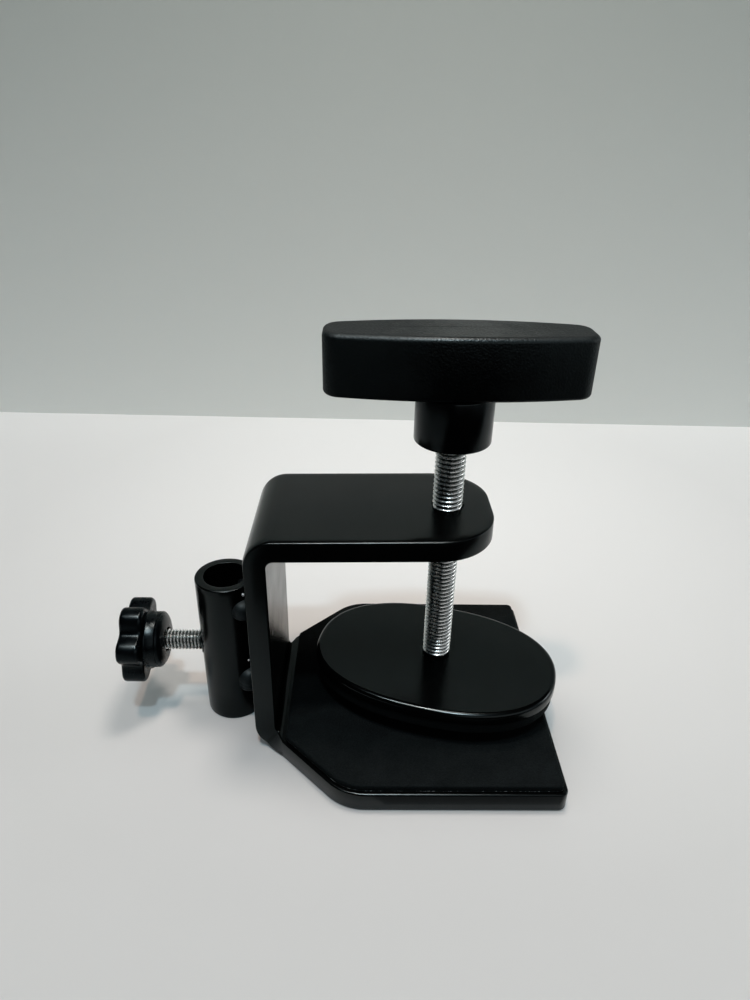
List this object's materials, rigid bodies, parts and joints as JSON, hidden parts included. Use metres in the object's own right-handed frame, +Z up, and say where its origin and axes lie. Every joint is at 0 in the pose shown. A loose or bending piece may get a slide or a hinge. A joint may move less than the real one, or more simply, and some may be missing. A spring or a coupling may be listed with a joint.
{
  "type": "desk clamp",
  "caption": "Black steel desk clamp with a C bracket, foam-faced base and oval screw-down pad, bar handle, and a side socket tube with a star-knob thumb screw.",
  "frame": {"origin": "on the base's flat underside, where the clamp screw's axis meets it", "axes": "+X from the back plate towards the arm's tip, +Y across the base, +Z up along the clamp screw"},
  "size_m": [0.1262, 0.081, 0.1172],
  "materials": {
    "black_powder_coat": "satin black powder coat",
    "satin_black_metal": "smooth satin black",
    "zinc_plated_steel": "bright zinc plate",
    "bare_steel": "plain steel",
    "grained_black_plastic": "fine-grained matte",
    "gloss_black_plastic": "glossy",
    "black_foam": "matte cellular foam",
    "adhesive_tape": "matte tape"
  },
  "bodies": {
    "bracket": {"c_bracket": "black_powder_coat", "base_foam_tape": "adhesive_tape", "base_foam_pad": "black_foam", "socket_tube": "black_powder_coat", "weld_upper_front": "black_powder_coat", "weld_upper_back": "black_powder_coat", "weld_lower_front": "black_powder_coat", "weld_lower_back": "black_powder_coat"},
    "screw_washer": {"retaining_washer": "bare_steel"},
    "clamp_screw": {"clamp_screw": "zinc_plated_steel", "handle_hub": "satin_black_metal", "handle_grip": "grained_black_plastic"},
    "pad_swivel_washer": {"wave_washer": "bare_steel"},
    "pressure_pad": {"pressure_plate": "black_powder_coat", "pad_foam_tape": "adhesive_tape", "pad_foam": "black_foam"},
    "thumb_stud": {"thumb_stud": "zinc_plated_steel"},
    "star_knob": {"star_knob": "gloss_black_plastic"}
  },
  "joints": [
    {"name": "clamp_travel", "type": "slide", "parent": "bracket", "child": "screw_washer", "axis": [0, 0, 1], "range_m": [-0.0035, 0.0415]},
    {"name": "screw_turn", "type": "hinge", "parent": "screw_washer", "child": "clamp_screw", "pos_m": [0, 0, 0.06], "axis": [0, 0, 1], "range_deg": [-1008, 11952]},
    {"name": "pad_swivel", "type": "hinge", "parent": "screw_washer", "child": "pad_swivel_washer", "pos_m": [0, 0, 0.018], "axis": [0, 0, 1], "continuous": true},
    {"name": "pad_tilt", "type": "hinge", "parent": "pad_swivel_washer", "child": "pressure_pad", "pos_m": [0, 0, 0.01825], "axis": [0.2823, 0.9593, 0], "range_deg": [-2, 2]},
    {"name": "thumb_travel", "type": "slide", "parent": "bracket", "child": "thumb_stud", "axis": [1, 0, 0], "range_m": [-0.002, 0.009]},
    {"name": "thumb_turn", "type": "hinge", "parent": "thumb_stud", "child": "star_knob", "pos_m": [-0.085, 0, 0.0235], "axis": [1, 0, 0], "range_deg": [-720, 3240]}
  ],
  "couplings": [
    {"joint": "screw_turn", "follows": "clamp_travel", "rad_per_m": 5026.5},
    {"joint": "thumb_turn", "follows": "thumb_travel", "rad_per_m": 6283.2}
  ]
}
